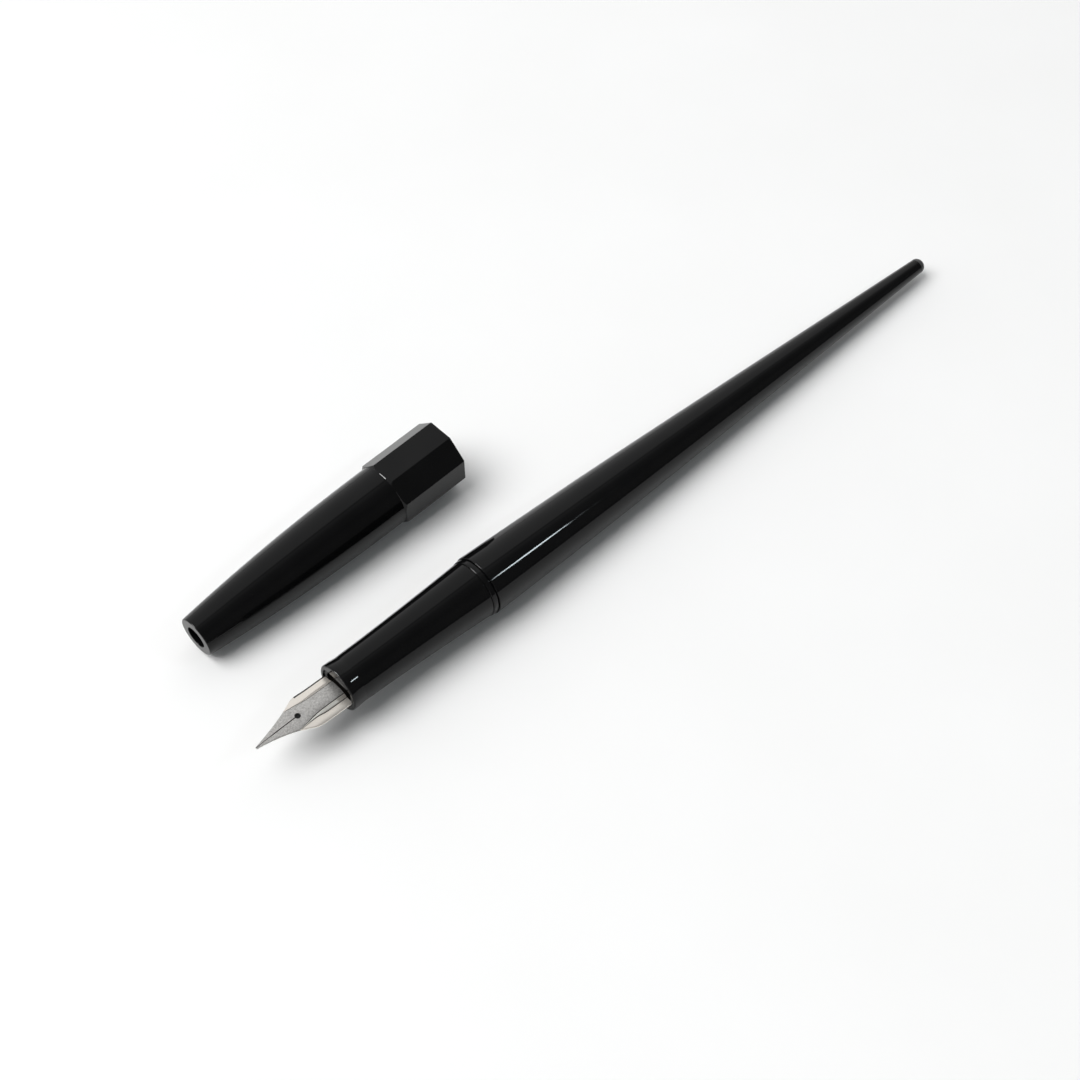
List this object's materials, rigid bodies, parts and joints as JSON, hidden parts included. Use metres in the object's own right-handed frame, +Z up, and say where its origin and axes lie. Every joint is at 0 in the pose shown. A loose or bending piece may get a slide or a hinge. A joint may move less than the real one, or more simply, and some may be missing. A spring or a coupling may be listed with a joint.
{
  "type": "desk fountain pen",
  "caption": "Long tapering desk fountain pen with a steel nib, lying uncapped beside its snap cap, which has an octagonal mouth end.",
  "frame": {"origin": "on the table, below the middle of the box around pen and cap", "axes": "+Z up from the table; +X along the pen from the nib towards the tail; +Y from the pen towards the cap"},
  "size_m": [0.1774, 0.04, 0.0135],
  "materials": {
    "gloss_black": "polished moulded black plastic",
    "matt_black": "plain moulded black plastic",
    "nib_steel": "fine-brushed stamped stainless sheet",
    "ball_steel": "polished steel ball",
    "ink_plastic": "thin translucent plastic, dark with ink",
    "tail_grey": "satin dark grey plastic"
  },
  "bodies": {
    "grip": {"grip_section": "gloss_black", "nib_collar": "matt_black", "cartridge_nipple": "matt_black"},
    "nib_unit": {"nib": "nib_steel", "feed": "matt_black"},
    "ring": {"snap_ring": "gloss_black"},
    "barrel": {"barrel": "gloss_black", "tail_plug": "tail_grey"},
    "cartridge": {"ink_cartridge": "ink_plastic"},
    "ball": {"cartridge_ball": "ball_steel"},
    "cap": {"cap_shell": "gloss_black", "inner_cap": "matt_black"}
  },
  "joints": [
    {"name": "nib_pull", "type": "slide", "parent": "grip", "child": "nib_unit", "axis": [-0.9997, 0, 0.0247], "range_m": [0, 0.02]},
    {"name": "ring_travel", "type": "slide", "parent": "grip", "child": "ring", "axis": [0.9997, 0, -0.0247], "range_m": [0, 0.00501]},
    {"name": "barrel_unscrew", "type": "hinge", "parent": "ring", "child": "barrel", "pos_m": [-0.03774, -0.01392, 0.00609], "axis": [0.9997, 0, -0.0247], "range_deg": [0, 1800]},
    {"name": "cartridge_pull", "type": "slide", "parent": "grip", "child": "cartridge", "axis": [0.9997, 0, -0.0247], "range_m": [0, 0.005]},
    {"name": "ball_roll", "type": "slide", "parent": "cartridge", "child": "ball", "axis": [0.9997, 0, -0.0247], "range_m": [-0.045, 0]},
    {"name": "cap_push_on", "type": "slide", "parent": "grip", "child": "cap", "axis": [0.9991, 0.0174, 0.038], "range_m": [0, 0.051]}
  ],
  "couplings": [
    {"joint": "ring_travel", "follows": "barrel_unscrew", "m_per_rad": 0.00015915}
  ]
}
